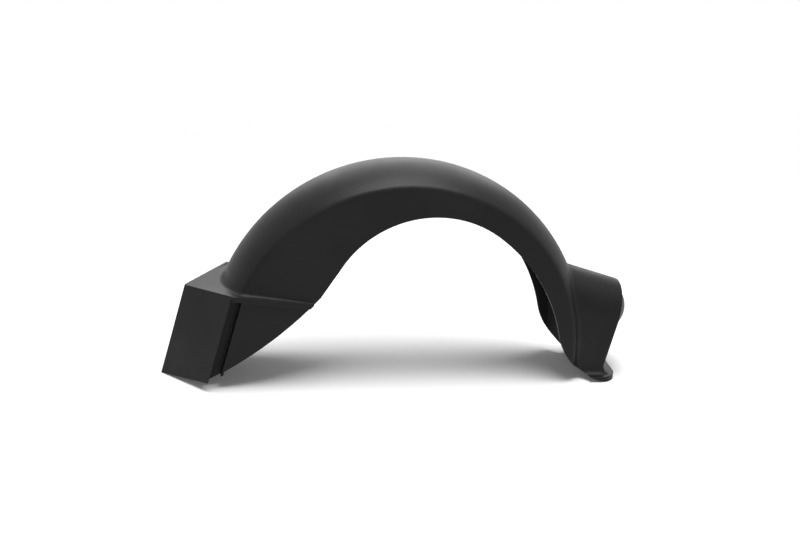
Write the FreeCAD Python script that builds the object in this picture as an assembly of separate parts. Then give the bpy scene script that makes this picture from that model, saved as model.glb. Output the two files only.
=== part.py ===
import FreeCAD, Part
import math
import os

from FreeCAD import Vector

# Scooter rear mudguard: one moulded shell and the domed reflector at its tail.
# Millimetres. While it is built the wheel axle is the origin, X runs to the rear and Z up.

# Arch over the wheel
ARCH_WIDTH = 70.0
CROWN_R = 145.0
CROWN_RISE = 12.0
CREASE_R = 6.0
ARCH_AHEAD = 3.8
ARCH_BELOW = 5.0
WALL = 2.6
AXLE_HEIGHT = 29.0

# Wheel opening in the side walls, whose lower edge runs from the toe at the nose to the heel at the tail.
# Its points are named by how far they lie inside or outside the crown's radius.
WALL_DEPTH = 63.5
OPENING_BACK = 15.7
OPENING_ABOVE = 23.8
OPENING_FRONT_ANGLE = 145.0
OPENING_REAR_ANGLE = 55.0
KNEE_IN, KNEE_ABOVE = 76.5, 43.3
BEND_IN, BEND_ABOVE = 44.0, 12.0
TOE_OUT, TOE_BELOW = 15.0, 26.0
TAIL_BEND_IN, TAIL_BEND_ABOVE = 44.5, 49.5
TAIL_LOW_IN, TAIL_LOW_ABOVE = 28.5, 8.9
FLAP_IN, FLAP_BELOW = 16.7, 13.0
HEEL_OUT = 13.0

# Front box with its pointed face and top plate, whose rim stands out from the side walls
RIM_FRONT = 5.0
RIM_REAR = 1.75
PLATE_THICK = 4.0
PLATE_PITCH = 7.8
PLATE_FALL = 7.5
PLATE_BREAK_R = 60.0
PLATE_TAIL = 60.6
NOSE_OUT = 22.9
NOSE_HEIGHT = 42.0
NOSE_SET = 33.8
NOSE_LEAN = 13.9
FOOT_RISE = 7.3
BLEND_FRONT_R = 3.8
BLEND_REAR_R = 1.0
RIDGE_R = 1.5
POCKET_LENGTH = 8.5
POCKET_DEPTH = 8.0
POCKET_BELOW = 6.0
POCKET_DROP = 3.0

# Screw bosses under the top plate
BOSS_SPACING = 20.0
BOSS_R = 4.8
BOSS_BORE_R = 2.1
BOSS_DEPTH = 14.0
BOSS_BACK = 17.4
BOSS_HEIGHT = 18.0

# Lamp pod at the tail
POD_IN = 7.5
POD_TILT = 13.0
POD_ROOF_FALL = 17.3
POD_OUT = 19.6
POD_RIM_ABOVE = 16.5
POD_BLEND_R = 7.0
POD_EDGE_R = 1.2

# Lip at the foot of the tail
LIP_THICK = 4.5
LIP_OUT = 12.0
LIP_SIDE = 7.5
LIP_CORNER_R = 14.0
LIP_LENGTH = 26.0
LIP_BLEND_R = 6.0

# Reflector
LENS_R = 17.0
LENS_RISE = 11.0
LENS_EDGE = 2.0
LENS_SPIGOT_R = 14.0
LENS_SPIGOT = 4.0
LENS_UP = 4.0
LENS_CLEARANCE = 0.2

HALF = ARCH_WIDTH / 2
PLATE_WIDTH = ARCH_WIDTH + 2 * RIM_FRONT
PLATE_REAR_WIDTH = ARCH_WIDTH + 2 * RIM_REAR
NOSE_AHEAD = CROWN_R + NOSE_OUT
OPENING_R = CROWN_R - WALL_DEPTH
POD_R = HALF - POD_IN
POD_RIM_BACK = CROWN_R + POD_OUT
SHOULDER_R = CROWN_R - CROWN_RISE
FLOOR = -AXLE_HEIGHT
BIG = 4 * CROWN_R
Y_AXIS = Vector(0, 1, 0)
UP = Vector(0, 0, 1)


def line(start, end):
    return Part.LineSegment(start, end).toShape()


def arc(start, via, end):
    return Part.Arc(start, via, end).toShape()


def in_side(x, z):
    """A point of the side view, in the mid-plane."""
    return Vector(x, 0, z)


def prism_across(edges, half_width):
    """A closed outline of the side view, extruded to both sides of the mid-plane."""
    face = Part.Face(Part.Wire(edges))
    face.translate(Vector(0, -half_width, 0))
    return face.extrude(Vector(0, 2 * half_width, 0))


def lies_on(shape, edge):
    """Whether the whole edge lies on the shape."""
    return all(shape.distToShape(Part.Vertex(point))[0] < 0.02 for point in edge.discretize(5))


def prism(points, direction):
    return Part.Face(Part.makePolygon(points + points[:1])).extrude(direction)


def arch_disc(inset):
    """The solid that the crown sweeps round the middle of the arch, smaller by inset on every side."""
    half = HALF - inset
    shoulder = SHOULDER_R - inset
    crown = CROWN_R - inset
    crease = max(CREASE_R - inset, 0.4)
    # Circle of the crown across the width, through both shoulders and the middle
    rise = crown - shoulder
    crown_circle_r = (half ** 2 + rise ** 2) / (2 * rise)
    circle_z = crown - crown_circle_r
    # The crease is a small circle that touches the side wall and the crown from inside
    crease_y = half - crease
    crease_z = circle_z + math.sqrt((crown_circle_r - crease) ** 2 - crease_y ** 2)
    reach = crown_circle_r / (crown_circle_r - crease)
    touch_y = crease_y * reach
    touch_z = circle_z + (crease_z - circle_z) * reach
    turn = math.atan2(touch_z - crease_z, touch_y - crease_y) / 2
    mid_y = crease_y + crease * math.cos(turn)
    mid_z = crease_z + crease * math.sin(turn)
    left, right = -1, 1

    def at(side, y, z):
        return Vector(0, side * y, z)

    edges = [
        line(at(right, 0, 0), at(right, half, 0)),
        line(at(right, half, 0), at(right, half, crease_z)),
        arc(at(right, half, crease_z), at(right, mid_y, mid_z), at(right, touch_y, touch_z)),
        arc(at(right, touch_y, touch_z), at(right, 0, crown), at(left, touch_y, touch_z)),
        arc(at(left, touch_y, touch_z), at(left, mid_y, mid_z), at(left, half, crease_z)),
        line(at(left, half, crease_z), at(left, half, 0)),
        line(at(left, half, 0), at(right, 0, 0)),
    ]
    disc = Part.Face(Part.Wire(edges)).revolve(Vector(), Y_AXIS, 360)
    disc.translate(Vector(-ARCH_AHEAD, 0, -ARCH_BELOW))
    return disc


def opening_point(angle):
    turn = math.radians(angle)
    return Vector(OPENING_R * math.cos(turn) + OPENING_BACK, 0, OPENING_R * math.sin(turn) + OPENING_ABOVE)


def below_edge():
    """All that lies under the lower edge of the side walls."""
    toe = in_side(-CROWN_R - TOE_OUT, -TOE_BELOW)
    bend = in_side(BEND_IN - CROWN_R, BEND_ABOVE)
    knee = in_side(KNEE_IN - CROWN_R, KNEE_ABOVE)
    tail = in_side(CROWN_R - TAIL_BEND_IN, TAIL_BEND_ABOVE)
    low = in_side(CROWN_R - TAIL_LOW_IN, TAIL_LOW_ABOVE)
    flap = in_side(CROWN_R - FLAP_IN, -FLAP_BELOW)
    front, rear = opening_point(OPENING_FRONT_ANGLE), opening_point(OPENING_REAR_ANGLE)
    heel = in_side(CROWN_R + HEEL_OUT, FLOOR)
    deep_heel = in_side(heel.x, -BIG)
    deep_toe = in_side(toe.x, -BIG)
    edges = [
        arc(toe, bend, knee),
        line(knee, front),
        arc(front, opening_point(90), rear),
        arc(rear, tail, low),
        arc(low, flap, heel),
        line(heel, deep_heel),
        line(deep_heel, deep_toe),
        line(deep_toe, toe),
    ]
    return prism_across(edges, BIG)


def nose_axis():
    """Direction of the ridge of the front face, downwards and forwards."""
    lean = math.radians(NOSE_LEAN)
    return Vector(-math.sin(lean), 0, -math.cos(lean))


def nose_ridge():
    """The ridge, from the apex of the top plate down to the floor."""
    axis = nose_axis()
    return axis * ((FLOOR - NOSE_HEIGHT) / axis.z)


def plate_points():
    """Apex of the plate, then the middle of its broad line and of its rear line."""
    apex = Vector(-NOSE_AHEAD, 0, NOSE_HEIGHT)
    broad = apex + Vector(NOSE_SET, 0, NOSE_SET * math.tan(math.radians(PLATE_PITCH)))
    rear = broad + Vector(PLATE_TAIL, 0, -PLATE_TAIL * math.tan(math.radians(PLATE_FALL)))
    return apex, broad, rear


def aside(point, width):
    return point + Vector(0, -width / 2, 0), point + Vector(0, width / 2, 0)


def top_plate():
    apex, broad, rear = plate_points()
    near, far = aside(broad, PLATE_WIDTH)
    rear_near, rear_far = aside(rear, PLATE_REAR_WIDTH)
    down = Vector(0, 0, -PLATE_THICK)
    plate = prism([apex, near, far], down).fuse(prism([near, rear_near, rear_far, far], down)).removeSplitter()
    break_line = line(near, far)

    def at_break(edge):
        return edge.Length > PLATE_WIDTH / 2 and lies_on(break_line, edge)

    return blended(plate, PLATE_BREAK_R, at_break)


def plate_top(x):
    """Height of the top plate, before its break is rounded."""
    _, broad, _ = plate_points()
    angle = -PLATE_FALL if x > broad.x else PLATE_PITCH
    return broad.z + (x - broad.x) * math.tan(math.radians(angle))


def along_plate(distance):
    """A step to the rear in the pitched front part of the top plate."""
    apex, broad, _ = plate_points()
    return (broad - apex) * (distance / NOSE_SET)


def sheet_depth():
    """Thickness of the pointed face, measured straight to the rear."""
    return WALL * math.hypot(NOSE_SET, PLATE_WIDTH / 2) / (PLATE_WIDTH / 2)


def pointed_face():
    """The two front faces as one bent sheet, with free edges at the sides that are cut square to the rear."""
    apex, broad, _ = plate_points()
    near, far = aside(broad, PLATE_WIDTH)
    inner = PLATE_WIDTH * (1 - sheet_depth() / NOSE_SET)
    near_inner, far_inner = aside(broad, inner)
    return prism([apex, near, near_inner, apex + along_plate(sheet_depth()), far_inner, far], nose_ridge())


def under_foot():
    """What lies below the foot of the pointed face, which rises from the ridge to both sides."""
    apex, _, _ = plate_points()
    foot = apex + nose_ridge() - Vector(NOSE_SET, 0, 0)
    near, far = aside(foot + UP * (2 * FOOT_RISE), 2 * PLATE_WIDTH)
    return prism([near, foot, far, far - UP * BIG, near - UP * BIG], Vector(3 * NOSE_SET, 0, 0))


def box_block(half_width, set_back, below_top):
    """The box behind the pointed face as a block, from below its top plate to the foot of the face."""
    apex, broad, rear = plate_points()
    tip = apex + along_plate(set_back)
    corner = tip + along_plate(NOSE_SET * half_width / (PLATE_WIDTH / 2))
    near, far = aside(corner, 2 * half_width)
    back = along_plate(PLATE_TAIL / 2)
    block = prism([tip, near, near + back, far + back, far], nose_ridge())
    roof = [apex + Vector(-BIG, 0, 0), apex, broad, rear, rear + Vector(BIG, 0, 0),
            rear + Vector(BIG, 0, BIG), apex + Vector(-BIG, 0, BIG)]
    above = prism_across([line(p, q) for p, q in zip(roof, roof[1:] + roof[:1])], BIG)
    above.translate(Vector(0, 0, -below_top))
    return block.cut(above)


def edge_pockets():
    """Blocks inside the side walls behind the free edges of the pointed face, and the pockets in them."""
    apex, _, _ = plate_points()
    front = apex + along_plate(NOSE_SET * HALF / (PLATE_WIDTH / 2) + sheet_depth() / 2)
    length, wall = along_plate(sheet_depth() / 2 + POCKET_LENGTH), along_plate(WALL)
    block_top, pocket_top = UP * (-0.75 * PLATE_THICK), UP * -POCKET_BELOW
    blocks, pockets = [], []
    for side in (-1, 1):
        inside, outside = Y_AXIS * (side * (HALF - WALL / 2)), Y_AXIS * (side * (HALF + WALL))
        bottom = Y_AXIS * (side * (HALF - POCKET_DEPTH))
        back = bottom - Y_AXIS * (side * WALL)
        start, end = front - wall + block_top, front + length + wall + block_top
        blocks.append(prism([start + back, start + inside, end + inside, end + back], nose_ridge()))
        start, end = front + pocket_top, front + length + pocket_top
        pockets.append(prism([start + bottom, start + outside, end + outside, end + bottom], nose_ridge()))
    return blocks, pockets


def pod_frame():
    """Middle of the pod's rear face, its direction to the rear, and up in that face."""
    tilt = math.radians(POD_TILT)
    rim = Vector(POD_RIM_BACK, 0, POD_RIM_ABOVE)
    return rim, Vector(math.cos(tilt), 0, -math.sin(tilt)), Vector(math.sin(tilt), 0, math.cos(tilt))


def pod(inset):
    """A round-topped hood from the crown to its rear face, smaller by inset."""
    rim, back, up = pod_frame()
    radius = POD_R - inset
    centre = rim - back * inset
    drop = up * -BIG
    left, right = Y_AXIS * -radius, Y_AXIS * radius
    edges = [
        arc(centre + left, centre + up * radius, centre + right),
        line(centre + right, centre + right + drop),
        line(centre + right + drop, centre + left + drop),
        line(centre + left + drop, centre + left),
    ]
    fall = math.radians(POD_ROOF_FALL)
    forward = Vector(-math.cos(fall), 0, math.sin(fall))
    return Part.Face(Part.Wire(edges)).extrude(forward * (POD_RIM_BACK - CROWN_R / 2))


def rounded_pod():
    """The hood with its rear edge eased, down both sides and over the top."""
    solid = pod(0)
    rim, back, _ = pod_frame()

    def on_rear_rim(edge):
        return abs((edge.CenterOfMass - rim).dot(back)) < 0.01 and edge.CenterOfMass.z > -0.9 * BIG

    return blended(solid, POD_EDGE_R, on_rear_rim)


def pod_foot():
    """Where the pod's rear face reaches the floor."""
    rim, _, _ = pod_frame()
    return rim.x + (FLOOR - rim.z) * math.tan(math.radians(POD_TILT))


def lip():
    """The flat foot that spreads out round the bottom of the tail."""
    half = POD_R + LIP_SIDE
    back = pod_foot() + LIP_OUT
    plate = Part.makeBox(LIP_LENGTH, 2 * half, LIP_THICK, Vector(back - LIP_LENGTH, -half, FLOOR))
    corners = [edge for edge in plate.Edges if edge.Length < LIP_THICK + 0.1 and edge.CenterOfMass.x > back - 1]
    return plate.makeFillet(LIP_CORNER_R, corners)


def bosses():
    """The screw bosses below the top plate, and their blind bores."""
    apex, _, _ = plate_points()
    foot = NOSE_HEIGHT - PLATE_THICK - BOSS_HEIGHT
    posts, bores = [], []
    for side in (-1, 1):
        place = Vector(apex.x + BOSS_BACK, side * BOSS_SPACING / 2, foot)
        posts.append(Part.makeCylinder(BOSS_R, BOSS_HEIGHT + PLATE_THICK, place, UP))
        bores.append(Part.makeCylinder(BOSS_BORE_R, BOSS_DEPTH, place, UP))
    return posts, bores


def below_floor():
    return Part.makeBox(2 * BIG, 2 * BIG, BIG, Vector(-BIG, -BIG, FLOOR - BIG))


def blended(solid, radius, chosen):
    return solid.makeFillet(radius, [edge for edge in solid.Edges if chosen(edge)])


def arch_on_plate():
    """The arch with the top plate round its foot, and a hollow blend that narrows to the rear."""
    disc, plate = arch_disc(0), top_plate()
    form = disc.fuse(plate)
    disc_skin, plate_skin = disc.Shells[0], plate.Shells[0]
    radii = []
    for number, edge in enumerate(form.Edges, 1):
        ends = edge.valueAt(edge.FirstParameter), edge.valueAt(edge.LastParameter)
        above = all(end.z > plate_top(end.x) - PLATE_THICK / 2 for end in ends)
        if above and lies_on(plate_skin, edge) and lies_on(disc_skin, edge):
            along_wall = edge.Length > PLATE_TAIL / 2 and isinstance(edge.Curve, Part.Line)
            rear = BLEND_REAR_R if along_wall else BLEND_FRONT_R
            to_rear = ends[0].x < ends[1].x
            radii.append((number, BLEND_FRONT_R, rear) if to_rear else (number, rear, BLEND_FRONT_R))
    document = FreeCAD.newDocument()
    raw = document.addObject("Part::Feature", "raw")
    raw.Shape = form
    rounded = document.addObject("Part::Fillet", "rounded")
    rounded.Base = raw
    rounded.Edges = radii
    document.recompute()
    shape = rounded.Shape.copy()
    FreeCAD.closeDocument(document.Name)
    return shape


def outer_form():
    """Arch, top plate, pod and lip as one filled form, with soft inner corners."""
    foot_top = FLOOR + LIP_THICK
    lip_front = pod_foot() + LIP_OUT - LIP_LENGTH

    def of_crown(face):
        return isinstance(face.Surface, Part.Toroid) and abs(face.Surface.Axis.y) > 0.99

    def round_pod(edge):
        crown_sides = [of_crown(face) for face in form.ancestorsOfType(edge, Part.Face)]
        return crown_sides.count(True) == 1 and edge.CenterOfMass.x > SHOULDER_R / 2

    def on_lip(edge):
        middle = edge.CenterOfMass
        against_pod = abs(middle.y) < POD_R + 0.01 and not isinstance(edge.Curve, Part.Circle)
        along_lip = lip_front + 0.1 < middle.x < lip_front + LIP_LENGTH - 0.1
        return abs(middle.z - foot_top) < 0.01 and against_pod and along_lip

    form = arch_on_plate().fuse(rounded_pod())
    form = blended(form, POD_BLEND_R, round_pod)
    return blended(form.fuse(lip()), LIP_BLEND_R, on_lip)


def lens_place():
    rim, back, up = pod_frame()
    return rim + up * LENS_UP, back


def eased_ridge(shell):
    """The shell with the ridge of its pointed face rounded."""
    apex, _, _ = plate_points()
    ridge = line(apex, apex + nose_ridge())

    def on_ridge(edge):
        return edge.Length > ridge.Length / 2 and lies_on(ridge, edge)

    return blended(shell, RIDGE_R, on_ridge)


def make_shell():
    disc, wheel_room = arch_disc(0), arch_disc(WALL)
    hood_room = pod(WALL)
    side_box = box_block(HALF, sheet_depth() / 2, PLATE_THICK / 2)
    box_room = box_block(HALF - WALL, sheet_depth(), PLATE_THICK)
    shell = outer_form().fuse(side_box)
    shell = shell.cut(wheel_room).cut(box_room.cut(disc)).cut(hood_room.cut(disc))
    blocks, pockets = edge_pockets()
    below, below_pockets = below_edge(), below_edge()
    below_pockets.translate(UP * -POCKET_DROP)
    shell = shell.cut(below).fuse([block.cut(below_pockets) for block in blocks]).cut(pockets)
    posts, bores = bosses()
    shell = shell.fuse([pointed_face()] + posts).cut(bores)
    middle, back = lens_place()
    seat = Part.makeCylinder(LENS_SPIGOT_R + LENS_CLEARANCE, 4 * WALL, middle - back * 2 * WALL, back)
    return eased_ridge(shell.cut([seat, below_floor(), under_foot()]).removeSplitter())


def make_reflector():
    """A domed disc on the pod's rear face, with a spigot through the wall."""
    middle, back = lens_place()
    rise = LENS_RISE - LENS_EDGE
    ball_r = (LENS_R ** 2 + rise ** 2) / (2 * rise)
    base = Part.makeCylinder(LENS_R, LENS_EDGE, middle, back)
    ball = Part.makeSphere(ball_r, middle + back * (LENS_RISE - ball_r))
    dome = ball.common(Part.makeCylinder(LENS_R, LENS_RISE, middle + back * LENS_EDGE, back))
    spigot = Part.makeCylinder(LENS_SPIGOT_R, LENS_SPIGOT, middle - back * LENS_SPIGOT, back)
    return base.fuse([dome, spigot]).removeSplitter()


def main():
    parts = {"mudguard_shell": make_shell(), "rear_reflector": make_reflector()}
    # The part stands on Z = 0, with the origin below the middle of its length
    box = Part.makeCompound(list(parts.values())).optimalBoundingBox(False)
    to_origin = Vector(-(box.XMin + box.XMax) / 2, 0, -FLOOR)
    os.makedirs("parts", exist_ok=True)
    for name, shape in parts.items():
        shape.translate(to_origin)
        shape.exportStep("parts/" + name + ".step")
        size = shape.optimalBoundingBox(False)
        print(name, shape.isValid(), len(shape.Solids), round(shape.Volume), size)


if __name__ == "__main__":
    main()
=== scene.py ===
# %% [markdown]
# # A scooter's rear mudguard
# The mudguard is one black plastic moulding that arches over the wheel, with a pointed box at the front,
# a lamp pod at the tail and a domed reflector on the pod. The solids already have the right shape, so this
# lesson keeps them and gives them what a mould and a studio would: soft edges, grain, light and a camera.

# %% Load the solids
import math

import bpy
from mathutils import Matrix, Vector


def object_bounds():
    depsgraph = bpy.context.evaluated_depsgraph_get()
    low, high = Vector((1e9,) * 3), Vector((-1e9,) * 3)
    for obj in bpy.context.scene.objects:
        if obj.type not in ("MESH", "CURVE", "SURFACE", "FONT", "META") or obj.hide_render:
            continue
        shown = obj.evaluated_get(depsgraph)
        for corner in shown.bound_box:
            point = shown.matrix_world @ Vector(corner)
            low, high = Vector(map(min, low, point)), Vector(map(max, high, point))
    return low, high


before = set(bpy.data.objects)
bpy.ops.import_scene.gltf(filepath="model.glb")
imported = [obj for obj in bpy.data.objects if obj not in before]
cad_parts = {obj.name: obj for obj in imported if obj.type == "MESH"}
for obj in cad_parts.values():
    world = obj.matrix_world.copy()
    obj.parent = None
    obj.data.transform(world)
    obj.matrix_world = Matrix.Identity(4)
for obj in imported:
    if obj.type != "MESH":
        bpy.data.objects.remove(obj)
cad_low, cad_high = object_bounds()
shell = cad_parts["mudguard_shell"]
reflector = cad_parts["rear_reflector"]
print("CAD size in metres:", [round(side, 4) for side in cad_high - cad_low])

# %% [markdown]
# ## Smooth faces, crisp edges
# The solids arrive as loose triangles, each shaded flat, so a round crown would look cut with a knife. Their
# meshes stay as they are, and modifiers do the work on top: Weld joins the triangles, Edge Split parts them
# again where they meet at a real edge, and Weighted Normal keeps the broad faces flat beside narrow rounds.

# %% Shading of the solids
MM = 0.001
WELD_GAP = 0.005 * MM
EDGE_ANGLE = math.radians(24)
FLAT_FACE_WEIGHT = 60


def smooth(piece):
    """Shades the curved faces of a solid smoothly and leaves its edges crisp."""
    weld = piece.modifiers.new("join_triangles", "WELD")
    weld.merge_threshold = WELD_GAP
    split = piece.modifiers.new("part_at_edges", "EDGE_SPLIT")
    split.split_angle = EDGE_ANGLE
    split.use_edge_sharp = False
    normals = piece.modifiers.new("flat_faces", "WEIGHTED_NORMAL")
    normals.weight = FLAT_FACE_WEIGHT
    for polygon in piece.data.polygons:
        polygon.use_smooth = True
    print(piece.name, "has", len(piece.data.polygons), "triangles")


smooth(shell)
smooth(reflector)

# %% [markdown]
# ## Writing shaders as sums
# A material is a graph, and a graph is slow to read as a list of links. One small class stands for a value
# on its way through the graph, so that `1 - grain * 0.3` makes its own Math nodes. Every other node comes
# from a single method that takes its kind, its settings and what goes into it.

# %% Values and nodes


class Value:
    """A socket that can be added, subtracted and multiplied."""

    def __init__(self, finish, socket):
        self.finish = finish
        self.socket = socket

    def combine(self, operation, first, second):
        return self.finish.node("ShaderNodeMath", {"operation": operation}, {0: first, 1: second})

    def __add__(self, other):
        return self.combine("ADD", self, other)

    def __sub__(self, other):
        return self.combine("SUBTRACT", self, other)

    def __rsub__(self, other):
        return self.combine("SUBTRACT", other, self)

    def __mul__(self, other):
        return self.combine("MULTIPLY", self, other)

    __radd__ = __add__
    __rmul__ = __mul__


class Finish:
    """The node tree of a material or of the world, emptied and ready to be filled."""

    def __init__(self, owner):
        owner.use_nodes = True
        self.tree = owner.node_tree
        self.tree.nodes.clear()

    def node(self, kind, settings=None, inputs=None, output=0):
        made = self.tree.nodes.new(kind)
        for name, setting in (settings or {}).items():
            if name == "stops":
                for stop, (place, grey) in zip(made.color_ramp.elements, setting):
                    stop.position = place
                    stop.color = (grey, grey, grey, 1)
            else:
                setattr(made, name, setting)
        for name, value in (inputs or {}).items():
            if isinstance(value, Value):
                self.tree.links.new(value.socket, made.inputs[name])
            else:
                made.inputs[name].default_value = value
        return Value(self, made.outputs[output]) if made.outputs else made


def new_material(name, piece):
    """An empty material, put on every slot of the piece."""
    material = bpy.data.materials.new(name)
    piece.data.materials.clear()
    piece.data.materials.append(material)
    return Finish(material)


def blend(finish, factor, first, second):
    """A colour between two others. A Mix node has colours at inputs 6 and 7 and at output 2."""
    return finish.node("ShaderNodeMix", {"data_type": "RGBA"}, {0: factor, 6: first, 7: second}, output=2)


# %% [markdown]
# ## Black moulded plastic
# The mould was spark-eroded, so the plastic has a fine even grain, satin and not glossy. Handling has
# polished it a little in broad patches. Its edges are painted paler: a painted highlight along each small
# rounded edge, partly rubbed wear too. Grain is a bump and a ripple in the roughness, at half a millimetre.
# The patches are a slow noise. The colour is nearly black, because what is seen on black plastic is mostly
# reflection.
#
# No moulded edge is razor sharp. A Bevel node rounds the small ones in the shading alone, and where its
# normal turns away from the face's own, there is an edge, so the same node also finds where to paint the
# edge highlight and wear.

# %% Grain and edges
GRAINS_PER_METRE = 1900
PATCHES_PER_METRE = 22
HANDLED_STOPS = ((0.40, 0), (0.68, 1))
EDGE_R = 0.6 * MM
EDGE_SAMPLES = 6
# Edge mask for a painted highlight, partly rubbed wear: where the Bevel normal turns from the face's own
EDGE_HIGHLIGHT_STOPS = ((0.03, 0), (0.25, 1))

plastic = new_material("black_grained_plastic", shell)
place = plastic.node("ShaderNodeTexCoord", output="Object")
grain = plastic.node(
    "ShaderNodeTexNoise", inputs={"Vector": place, "Scale": GRAINS_PER_METRE, "Detail": 2.0}
)
patch = plastic.node(
    "ShaderNodeTexNoise", inputs={"Vector": place, "Scale": PATCHES_PER_METRE, "Detail": 3.0}
)
handled = plastic.node("ShaderNodeValToRGB", {"stops": HANDLED_STOPS}, {"Fac": patch})
edge = plastic.node("ShaderNodeBevel", {"samples": EDGE_SAMPLES}, {"Radius": EDGE_R})
face = plastic.node("ShaderNodeNewGeometry", output="Normal")
along = plastic.node(
    "ShaderNodeVectorMath", {"operation": "DOT_PRODUCT"}, {0: edge, 1: face}, output="Value"
)
edge_highlight_mask = plastic.node("ShaderNodeValToRGB", {"stops": EDGE_HIGHLIGHT_STOPS}, {"Fac": 1 - along})
print("grain of", round(1000 / GRAINS_PER_METRE, 2), "mm, edges rounded by", EDGE_R / MM, "mm")

# %% Shell material
BLACK = (0.0050, 0.0050, 0.0051, 1)
HANDLED_BLACK = (0.0078, 0.0078, 0.0080, 1)
# Pale grey painted along the edges as a highlight, and partly as rubbed wear
EDGE_HIGHLIGHT_GREY = (0.040, 0.040, 0.041, 1)
EDGE_PAINT_ALL_OVER, EDGE_PAINT_IN_PATCHES = 0.35, 0.6
GRAIN_STRENGTH, GRAIN_DEPTH = 0.28, 0.1 * MM
SATIN, GRAIN_ROUGHNESS, HANDLED_POLISH = 0.38, 0.14, 0.04
SHELL_GLOSS = 0.16

black = blend(plastic, handled, BLACK, HANDLED_BLACK)
# How much painted edge highlight and wear goes on, varied in patches
edge_highlight_and_wear = edge_highlight_mask * (EDGE_PAINT_ALL_OVER + patch * EDGE_PAINT_IN_PATCHES)
colour = blend(plastic, edge_highlight_and_wear, black, EDGE_HIGHLIGHT_GREY)
bump = plastic.node(
    "ShaderNodeBump",
    inputs={"Strength": GRAIN_STRENGTH, "Distance": GRAIN_DEPTH, "Height": grain, "Normal": edge},
)
surface = plastic.node(
    "ShaderNodeBsdfPrincipled",
    inputs={
        "Base Color": colour,
        "Roughness": SATIN + grain * GRAIN_ROUGHNESS - handled * HANDLED_POLISH,
        "Specular IOR Level": SHELL_GLOSS,
        "Normal": bump,
    },
)
plastic.node("ShaderNodeOutputMaterial", inputs={"Surface": surface})
print("shell material:", shell.data.materials[0].name)

# %% [markdown]
# ## Reflector
# A reflector is a dome over a bed of tiny moulded cells that send light back. Each cell could be modelled,
# but at two millimetres across a Voronoi pattern reads the same: it tilts the surface from cell to cell and
# darkens it between them. The photograph shows the dome as a dark sliver, so it is smoked and satin, with no
# clear coat to catch the white of the room.

# %% Reflector material
CELLS_PER_METRE = 520
CELL_JITTER = 0.15
SMOKE_DARK = (0.006, 0.006, 0.007, 1)
SMOKE_LIGHT = (0.030, 0.030, 0.033, 1)
FACET_STRENGTH, FACET_DEPTH = 0.35, 0.3 * MM
DOME_ROUGHNESS, CELL_ROUGHNESS = 0.34, 0.15
DOME_GLOSS = 0.25

dome = new_material("smoked_reflector_plastic", reflector)
place = dome.node("ShaderNodeTexCoord", output="Object")
cells = dome.node(
    "ShaderNodeTexVoronoi",
    inputs={"Vector": place, "Scale": CELLS_PER_METRE, "Randomness": CELL_JITTER},
)
smoke = blend(dome, cells, SMOKE_LIGHT, SMOKE_DARK)
facets = dome.node(
    "ShaderNodeBump", inputs={"Strength": FACET_STRENGTH, "Distance": FACET_DEPTH, "Height": cells}
)
surface = dome.node(
    "ShaderNodeBsdfPrincipled",
    inputs={
        "Base Color": smoke,
        "Roughness": DOME_ROUGHNESS + cells * CELL_ROUGHNESS,
        "Specular IOR Level": DOME_GLOSS,
        "Normal": facets,
    },
)
dome.node("ShaderNodeOutputMaterial", inputs={"Surface": surface})
print("reflector material:", reflector.data.materials[0].name)

# %% [markdown]
# ## Floor and background
# The photograph has a white sweep with only a soft shadow under the part. A round white floor, which turns
# clear towards its rim, melts into a white world and needs no seam. The world shows white to the camera and
# in reflections, and lights everything else more gently. In the same way the floor has a faint glow where it
# is seen, which keeps the shadow on it soft and lights nothing else.

# %% Floor
FLOOR_R = 1.6
FLOOR_SIDES = 96
WHITE = (1, 1, 1, 1)
WHITE_PAINT = (0.87, 0.87, 0.87, 1)
SOLID_TO, CLEAR_FROM = 0.30, 0.85
FLOOR_LIFT = 0.06


def seen_directly(finish):
    """One for rays from the camera, mirrors and glass, and nought for soft light."""
    rays = [finish.node("ShaderNodeLightPath", output="Is " + kind + " Ray")
            for kind in ("Camera", "Glossy", "Transmission")]
    return rays[0] + rays[1] + rays[2]


bpy.ops.object.select_all(action="DESELECT")
bpy.ops.mesh.primitive_circle_add(vertices=FLOOR_SIDES, radius=FLOOR_R, fill_type="NGON", location=(0, 0, 0))
floor = bpy.context.object
floor.name = "studio_floor"

sweep = new_material("white_sweep", floor)
place = sweep.node("ShaderNodeTexCoord", output="Object")
radius = sweep.node("ShaderNodeVectorMath", {"operation": "LENGTH"}, {0: place}, output="Value")
fade = sweep.node(
    "ShaderNodeMapRange",
    {"interpolation_type": "SMOOTHSTEP"},
    {"Value": radius, "From Min": SOLID_TO, "From Max": CLEAR_FROM},
)
paint = sweep.node("ShaderNodeBsdfDiffuse", inputs={"Color": WHITE_PAINT})
glow = sweep.node("ShaderNodeEmission", inputs={"Color": WHITE, "Strength": FLOOR_LIFT})
lifted = sweep.node("ShaderNodeAddShader", inputs={0: paint, 1: glow})
shown = sweep.node("ShaderNodeMixShader", inputs={0: seen_directly(sweep), 1: paint, 2: lifted})
clear = sweep.node("ShaderNodeBsdfTransparent")
surface = sweep.node("ShaderNodeMixShader", inputs={0: fade, 1: shown, 2: clear})
sweep.node("ShaderNodeOutputMaterial", inputs={"Surface": surface})
print("floor: white to", SOLID_TO, "m from its middle, clear from", CLEAR_FROM, "m")

# %% World
FILL_LEVEL = 0.30
SEEN_LEVEL = 1.0

if bpy.context.scene.world is None:
    bpy.context.scene.world = bpy.data.worlds.new("studio")
sky = Finish(bpy.context.scene.world)
fill = sky.node("ShaderNodeBackground", inputs={"Color": WHITE, "Strength": FILL_LEVEL})
white = sky.node("ShaderNodeBackground", inputs={"Color": WHITE, "Strength": SEEN_LEVEL})
surface = sky.node("ShaderNodeMixShader", inputs={0: seen_directly(sky), 1: fill, 2: white})
sky.node("ShaderNodeOutputWorld", inputs={"Surface": surface})
print("world: seen at", SEEN_LEVEL, "and lights at", FILL_LEVEL)

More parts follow.
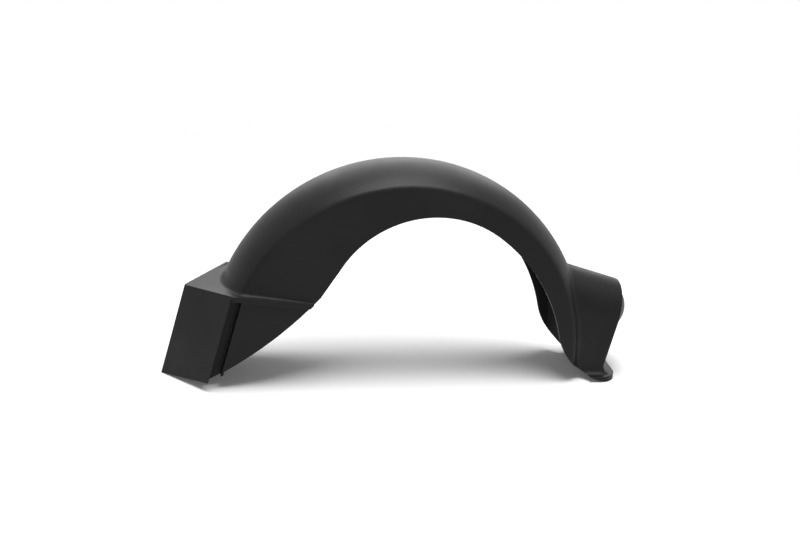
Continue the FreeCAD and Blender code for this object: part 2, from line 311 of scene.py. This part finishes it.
# %% [markdown]
# ## Lamps
# The shadow in the photograph lies close under the part and a little behind it, so one soft box hangs high
# and slightly towards the camera. A wide white card stands behind. It takes no part in the soft light, only
# in reflections, and draws the pale sheen along the crown and over the top plate.

# %% Soft box and card
middle = Vector((0, 0, (cad_low.z + cad_high.z) / 2))


def soft_box(name, place, size, watts):
    """A square area lamp that looks at the middle of the part."""
    lamp = bpy.data.lights.new(name, "AREA")
    lamp.shape = "SQUARE"
    lamp.size = size
    lamp.energy = watts
    holder = bpy.data.objects.new(name, lamp)
    holder.location = place
    holder.rotation_euler = (middle - Vector(place)).to_track_quat("-Z", "Y").to_euler()
    bpy.context.collection.objects.link(holder)
    print(name, "at", [round(side, 2) for side in place], "with", watts, "W")
    return holder


soft_box("key_box", (0.08, -0.14, 1.45), size=1.0, watts=31)
card = soft_box("back_card", (0.16, 1.00, 0.78), size=1.2, watts=9.5)
card.visible_diffuse = False

# %% [markdown]
# ## Camera
# The camera stands about a metre off, a little towards the nose and above it. The angles, the distance and
# the slight roll were found by matching the corners of the front face and the arch in the photograph.

# %% Camera
IMAGE_WIDTH = 800
FOCAL_PIXELS = 1430
SENSOR_MM = 36
AZIMUTH, ELEVATION, ROLL = math.radians(-10), math.radians(19), math.radians(3)
DISTANCE = 1093.95 * MM
AIM = Vector((-0.35, 0, 84)) * MM

data = bpy.data.cameras.new("photo_camera")
data.sensor_width = SENSOR_MM
data.lens = SENSOR_MM * FOCAL_PIXELS / IMAGE_WIDTH
camera = bpy.data.objects.new("photo_camera", data)
bpy.context.collection.objects.link(camera)
level = math.cos(ELEVATION)
away = Vector((math.sin(AZIMUTH) * level, -math.cos(AZIMUTH) * level, math.sin(ELEVATION)))
turn = away.to_track_quat("Z", "Y").to_matrix().to_4x4()
camera.matrix_world = Matrix.Translation(AIM + away * DISTANCE) @ turn @ Matrix.Rotation(ROLL, 4, "Z")
bpy.context.scene.camera = camera
bpy.context.scene.view_settings.view_transform = "Standard"
print("camera:", round(DISTANCE, 3), "m from its aim, with a lens of", round(data.lens, 1), "mm")
